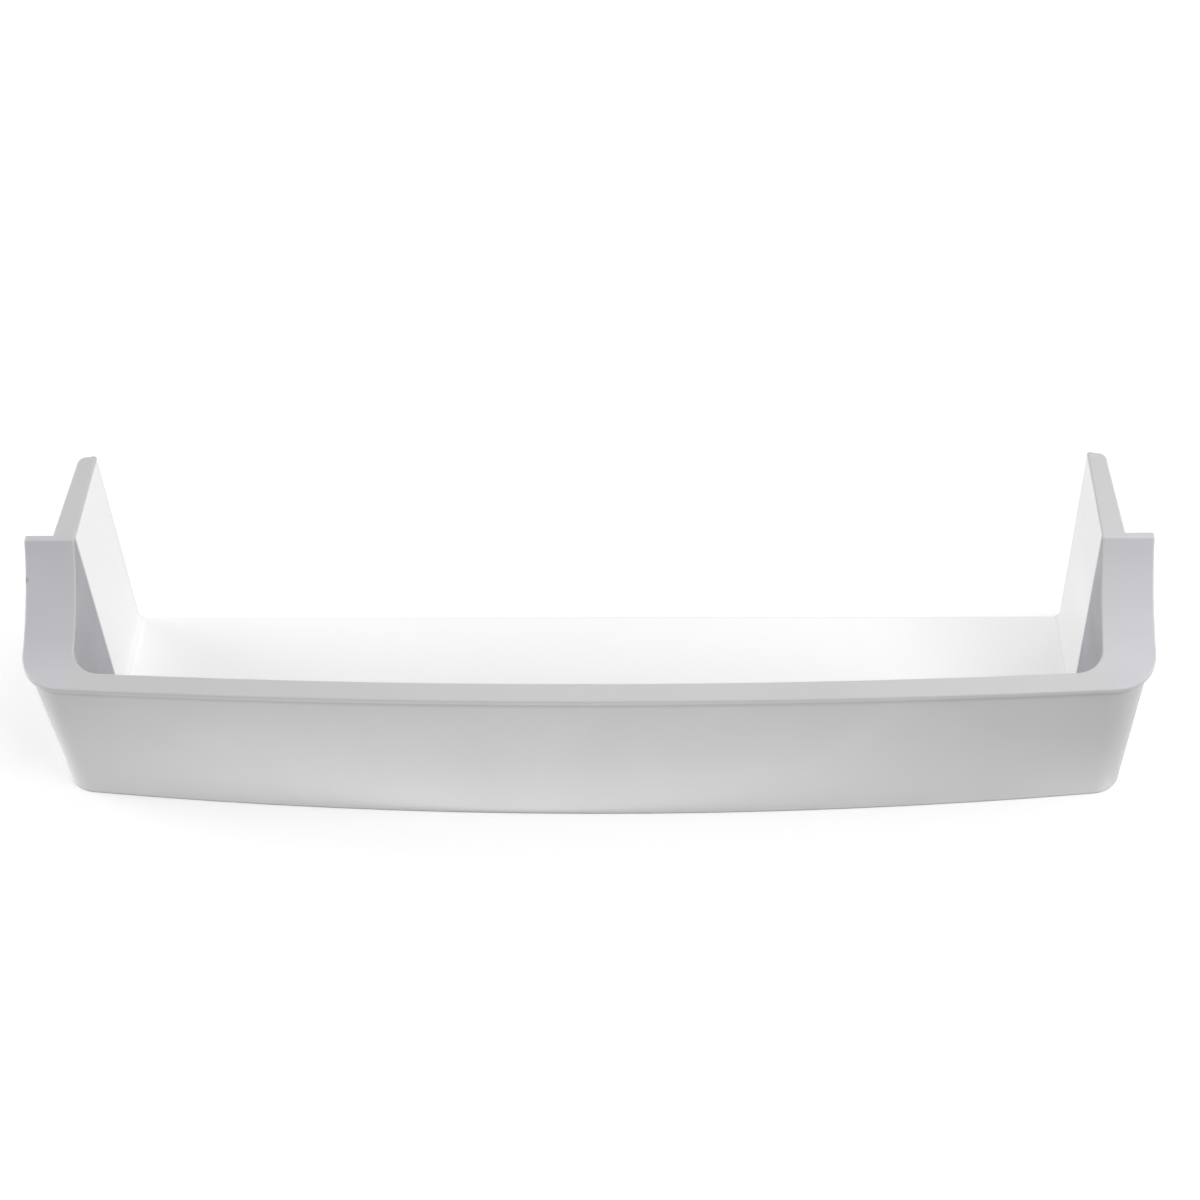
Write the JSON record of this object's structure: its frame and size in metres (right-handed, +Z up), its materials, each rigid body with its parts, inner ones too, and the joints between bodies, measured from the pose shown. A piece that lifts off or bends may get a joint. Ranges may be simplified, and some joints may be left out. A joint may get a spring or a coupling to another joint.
{
  "type": "fridge door bottle shelf",
  "caption": "Moulded white plastic bottle shelf for a fridge door: bowed hollow front with a flat rim, shoulders sweeping up to side ears, plain floor, open back.",
  "frame": {"origin": "middle of the footprint, on the plane that the shelf stands on", "axes": "+X across the door to the right seen from the room, +Y from the room towards the door, +Z up"},
  "size_m": [0.475, 0.114, 0.108],
  "materials": {
    "white_plastic": "satin"
  },
  "bodies": {
    "root": {"bottle_shelf": "white_plastic"}
  },
  "joints": []
}
